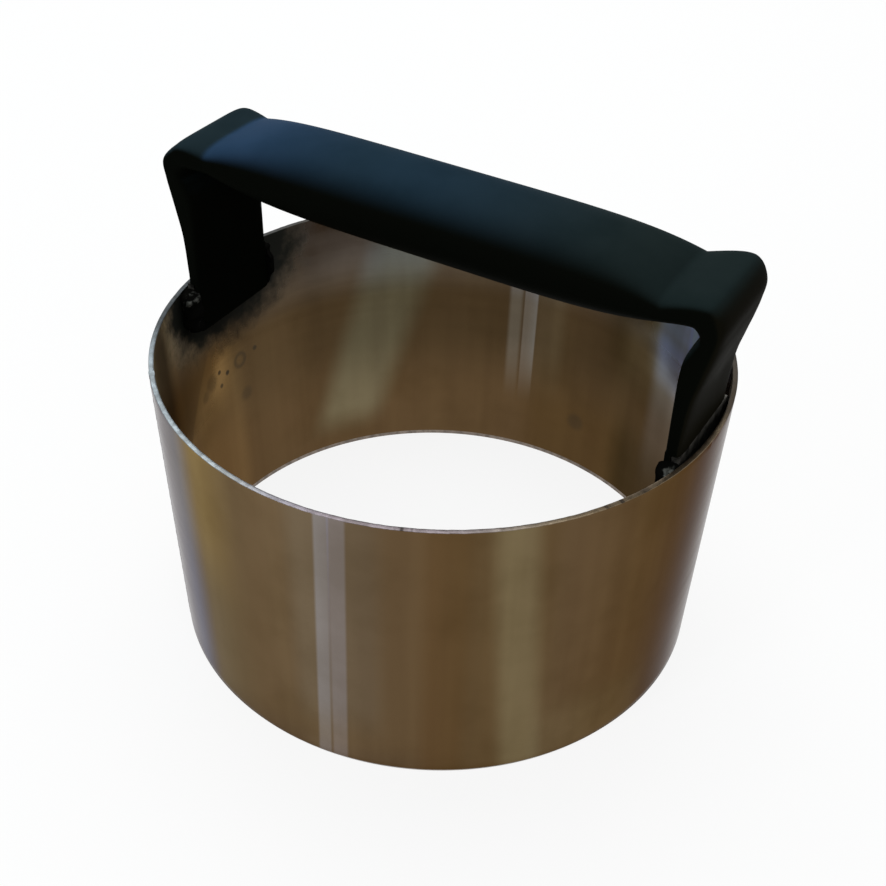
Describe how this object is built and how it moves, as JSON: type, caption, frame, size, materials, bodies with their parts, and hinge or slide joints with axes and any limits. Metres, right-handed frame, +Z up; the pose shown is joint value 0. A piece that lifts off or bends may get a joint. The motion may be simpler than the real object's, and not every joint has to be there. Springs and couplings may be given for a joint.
{
  "type": "biscuit cutter",
  "caption": "Round sheet-steel biscuit and dough cutter ring with an open top and bottom and a black moulded bridge handle across it.",
  "frame": {"origin": "middle of the ring at its cutting edge, on the plane that it stands on", "axes": "+Z up along the ring's axis, +X along the handle, +Y across the handle"},
  "size_m": [0.1174, 0.1142, 0.0991],
  "materials": {
    "ring_steel": "thin stainless sheet, rolled finish with fine grain round the ring, handled but clean",
    "dressed_weld": "butt weld ground nearly flush and brushed",
    "black_plastic": "black moulded plastic, satin with a very fine spark texture",
    "core_steel": "mild-looking steel strap, bare at the two tangs",
    "weld_metal": "undressed weld beads, darkened by heat"
  },
  "bodies": {
    "root": {"cutter_ring": "ring_steel", "ring_seam_weld": "dressed_weld", "handle_moulding": "black_plastic", "handle_core": "core_steel", "weld_left_front": "weld_metal", "weld_left_back": "weld_metal", "weld_right_front": "weld_metal", "weld_right_back": "weld_metal"}
  },
  "joints": []
}
